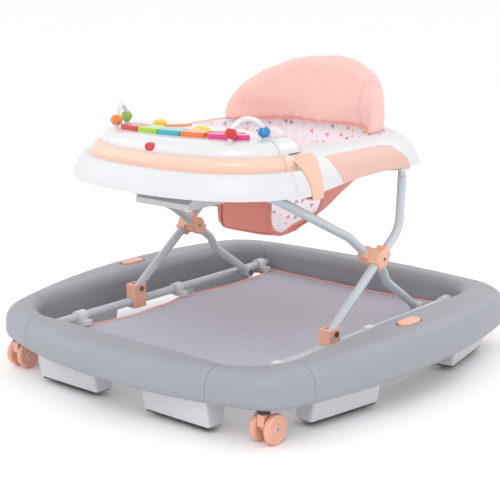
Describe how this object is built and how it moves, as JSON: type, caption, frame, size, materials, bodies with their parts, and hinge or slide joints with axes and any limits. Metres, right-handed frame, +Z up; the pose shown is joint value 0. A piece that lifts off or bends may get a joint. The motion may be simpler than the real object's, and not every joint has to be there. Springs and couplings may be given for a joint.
{
  "type": "baby walker",
  "caption": "Folding baby walker with a moulded bumper base on twin-wheel casters, a scissor frame of bent tubes, a fabric seat with a padded backrest and a play tray.",
  "frame": {"origin": "on the floor, under the middle of the base", "axes": "+Z up, -Y towards the front (the way the child faces), +X to the child's left"},
  "size_m": [0.626, 0.654, 0.4454],
  "materials": {
    "rail_grey": "satin",
    "tube_blue_grey": "satin",
    "mat": "woven",
    "clip_white": "gloss",
    "stop_white": "satin",
    "pad_rubber": "matte",
    "peach_plastic": "satin",
    "socket_dark": "matte",
    "wheel_peach": "satin",
    "pin_steel": "brushed",
    "tray_white": "gloss",
    "band_peach": "gloss",
    "housing_white": "satin",
    "red": "gloss",
    "lime": "gloss",
    "teal": "gloss",
    "orange": "gloss",
    "magenta": "gloss",
    "yellow": "gloss",
    "blue": "gloss",
    "green": "gloss",
    "inlay": "gloss",
    "dome_clear": "gloss",
    "fabric_peach": "woven",
    "fabric_print": "woven"
  },
  "bodies": {
    "base": {"front_rail": "rail_grey", "front_right_corner": "rail_grey", "front_left_corner": "rail_grey", "right_rail": "rail_grey", "left_rail": "rail_grey", "rear_rail": "rail_grey", "right_side_tube": "tube_blue_grey", "left_side_tube": "tube_blue_grey", "tube_clips": "clip_white", "foot_mat": "mat", "stop_blocks": "stop_white", "stop_pads": "pad_rubber", "caster_sockets": "socket_dark", "foot_rivets": "pin_steel"},
    "front_frame": {"front_leg_frame": "tube_blue_grey", "hub_inner_halves": "peach_plastic", "hub_pins": "pin_steel"},
    "rear_legs": {"rear_leg_right": "tube_blue_grey", "rear_leg_left": "tube_blue_grey", "hub_outer_halves": "peach_plastic", "slider_screws": "pin_steel"},
    "slider_right": {"tube_slider_right": "peach_plastic"},
    "slider_left": {"tube_slider_left": "peach_plastic"},
    "tray": {"tray_base": "tray_white", "side_panels": "peach_plastic", "tray_band": "band_peach", "toy_deck": "tray_white", "deck_inlays": "inlay", "toy_dome": "dome_clear", "bead_arches": "clip_white", "height_housing": "housing_white", "leg_brackets": "tray_white", "tray_pivot_pins": "pin_steel", "tray_straps": "fabric_peach", "backrest": "fabric_peach", "seat_sling": "fabric_print"},
    "caster_front_right": {"caster_yoke_front_right": "wheel_peach"},
    "wheels_front_right": {"caster_wheels_front_right": "wheel_peach"},
    "caster_front_left": {"caster_yoke_front_left": "wheel_peach"},
    "wheels_front_left": {"caster_wheels_front_left": "wheel_peach"},
    "caster_rear_right": {"caster_yoke_rear_right": "wheel_peach"},
    "wheels_rear_right": {"caster_wheels_rear_right": "wheel_peach"},
    "caster_rear_left": {"caster_yoke_rear_left": "wheel_peach"},
    "wheels_rear_left": {"caster_wheels_rear_left": "wheel_peach"},
    "key_red": {"piano_key_red": "red"},
    "key_lime": {"piano_key_lime": "lime"},
    "key_teal": {"piano_key_teal": "teal"},
    "key_orange": {"piano_key_orange": "orange"},
    "long_key_magenta_body": {"long_key_magenta": "magenta"},
    "long_key_red_body": {"long_key_red": "red"},
    "button_front": {"yellow_button_front": "yellow"},
    "button_left": {"yellow_button_left": "yellow"},
    "deck_latch": {"deck_latch_button": "red"},
    "rail_button_r": {"rail_button_right": "peach_plastic"},
    "rail_button_l": {"rail_button_left": "peach_plastic"},
    "lever": {"release_lever": "red"},
    "bead_red_body": {"bead_red": "red"},
    "bead_blue_body": {"bead_blue": "blue"},
    "bead_orange_body": {"bead_orange": "orange"},
    "bead_green_body": {"bead_green": "green"}
  },
  "joints": [
    {"name": "frame_fold", "type": "hinge", "parent": "base", "child": "front_frame", "pos_m": [0, 0.188, 0.0695], "axis": [1, 0, 0], "range_deg": [0, 24.7]},
    {"name": "rear_legs_turn", "type": "hinge", "parent": "front_frame", "child": "rear_legs", "pos_m": [0, 0.0555, 0.174], "axis": [1, 0, 0], "range_deg": [-53, 0]},
    {"name": "slider_right_turn", "type": "hinge", "parent": "rear_legs", "child": "slider_right", "pos_m": [0.189, -0.0615, 0.089], "axis": [1, 0, 0], "range_deg": [0, 28.2]},
    {"name": "slider_left_turn", "type": "hinge", "parent": "rear_legs", "child": "slider_left", "pos_m": [-0.189, -0.0615, 0.089], "axis": [1, 0, 0], "range_deg": [0, 28.2]},
    {"name": "tray_level", "type": "hinge", "parent": "rear_legs", "child": "tray", "pos_m": [0, 0.11, 0.304], "axis": [1, 0, 0], "range_deg": [0, 28.2]},
    {"name": "swivel_front_right", "type": "hinge", "parent": "base", "child": "caster_front_right", "pos_m": [0.236, -0.265, 0.05], "axis": [0, 0, 1], "continuous": true},
    {"name": "roll_front_right", "type": "hinge", "parent": "caster_front_right", "child": "wheels_front_right", "pos_m": [0.236, -0.256, 0.0203], "axis": [1, 0, 0], "continuous": true},
    {"name": "swivel_front_left", "type": "hinge", "parent": "base", "child": "caster_front_left", "pos_m": [-0.236, -0.265, 0.05], "axis": [0, 0, 1], "continuous": true},
    {"name": "roll_front_left", "type": "hinge", "parent": "caster_front_left", "child": "wheels_front_left", "pos_m": [-0.236, -0.256, 0.0203], "axis": [1, 0, 0], "continuous": true},
    {"name": "swivel_rear_right", "type": "hinge", "parent": "base", "child": "caster_rear_right", "pos_m": [0.206, 0.28, 0.05], "axis": [0, 0, 1], "continuous": true},
    {"name": "roll_rear_right", "type": "hinge", "parent": "caster_rear_right", "child": "wheels_rear_right", "pos_m": [0.206, 0.289, 0.0203], "axis": [1, 0, 0], "continuous": true},
    {"name": "swivel_rear_left", "type": "hinge", "parent": "base", "child": "caster_rear_left", "pos_m": [-0.206, 0.28, 0.05], "axis": [0, 0, 1], "continuous": true},
    {"name": "roll_rear_left", "type": "hinge", "parent": "caster_rear_left", "child": "wheels_rear_left", "pos_m": [-0.206, 0.289, 0.0203], "axis": [1, 0, 0], "continuous": true},
    {"name": "key_red_press", "type": "slide", "parent": "tray", "child": "key_red", "axis": [0, 0, -1], "range_m": [0, 0.0025], "stiffness_N_per_m": 600, "springref_m": -0.0008},
    {"name": "key_lime_press", "type": "slide", "parent": "tray", "child": "key_lime", "axis": [0, 0, -1], "range_m": [0, 0.0025], "stiffness_N_per_m": 600, "springref_m": -0.0008},
    {"name": "key_teal_press", "type": "slide", "parent": "tray", "child": "key_teal", "axis": [0, 0, -1], "range_m": [0, 0.0025], "stiffness_N_per_m": 600, "springref_m": -0.0008},
    {"name": "key_orange_press", "type": "slide", "parent": "tray", "child": "key_orange", "axis": [0, 0, -1], "range_m": [0, 0.0025], "stiffness_N_per_m": 600, "springref_m": -0.0008},
    {"name": "long_key_magenta_body_press", "type": "slide", "parent": "tray", "child": "long_key_magenta_body", "axis": [0, 0, -1], "range_m": [0, 0.0025], "stiffness_N_per_m": 600, "springref_m": -0.0008},
    {"name": "long_key_red_body_press", "type": "slide", "parent": "tray", "child": "long_key_red_body", "axis": [0, 0, -1], "range_m": [0, 0.0025], "stiffness_N_per_m": 600, "springref_m": -0.0008},
    {"name": "button_front_press", "type": "slide", "parent": "tray", "child": "button_front", "axis": [0, 0, -1], "range_m": [0, 0.0025], "stiffness_N_per_m": 600, "springref_m": -0.0008},
    {"name": "button_left_press", "type": "slide", "parent": "tray", "child": "button_left", "axis": [0, 0, -1], "range_m": [0, 0.0025], "stiffness_N_per_m": 600, "springref_m": -0.0008},
    {"name": "deck_latch_press", "type": "slide", "parent": "tray", "child": "deck_latch", "axis": [0, 1, 0], "range_m": [0, 0.002], "stiffness_N_per_m": 800, "springref_m": -0.0008},
    {"name": "rail_button_r_press", "type": "slide", "parent": "base", "child": "rail_button_r", "axis": [0, 0, -1], "range_m": [0, 0.003], "stiffness_N_per_m": 800, "springref_m": -0.0008},
    {"name": "rail_button_l_press", "type": "slide", "parent": "base", "child": "rail_button_l", "axis": [0, 0, -1], "range_m": [0, 0.003], "stiffness_N_per_m": 800, "springref_m": -0.0008},
    {"name": "release_lever_pull", "type": "hinge", "parent": "tray", "child": "lever", "pos_m": [0, -0.132, 0.277], "axis": [1, 0, 0], "range_deg": [0, 8], "stiffness_Nm_per_rad": 0.8, "springref_deg": -5.73},
    {"name": "bead_red_slide", "type": "hinge", "parent": "tray", "child": "bead_red_body", "pos_m": [0.118, -0.156, 0.367], "axis": [-0.8829, 0.4695, 0], "range_deg": [0, 62]},
    {"name": "bead_blue_slide", "type": "hinge", "parent": "tray", "child": "bead_blue_body", "pos_m": [0.118, -0.156, 0.367], "axis": [-0.8829, 0.4695, 0], "range_deg": [-62, 0]},
    {"name": "bead_orange_slide", "type": "hinge", "parent": "tray", "child": "bead_orange_body", "pos_m": [-0.118, -0.156, 0.367], "axis": [-0.8829, -0.4695, 0], "range_deg": [0, 62]},
    {"name": "bead_green_slide", "type": "hinge", "parent": "tray", "child": "bead_green_body", "pos_m": [-0.118, -0.156, 0.367], "axis": [-0.8829, -0.4695, 0], "range_deg": [-62, 0]}
  ],
  "couplings": [
    {"joint": "rear_legs_turn", "follows": "frame_fold", "ratio": -2.1335},
    {"joint": "slider_right_turn", "follows": "frame_fold", "ratio": 1.1335},
    {"joint": "slider_left_turn", "follows": "frame_fold", "ratio": 1.1335},
    {"joint": "tray_level", "follows": "frame_fold", "ratio": 1.1335}
  ]
}
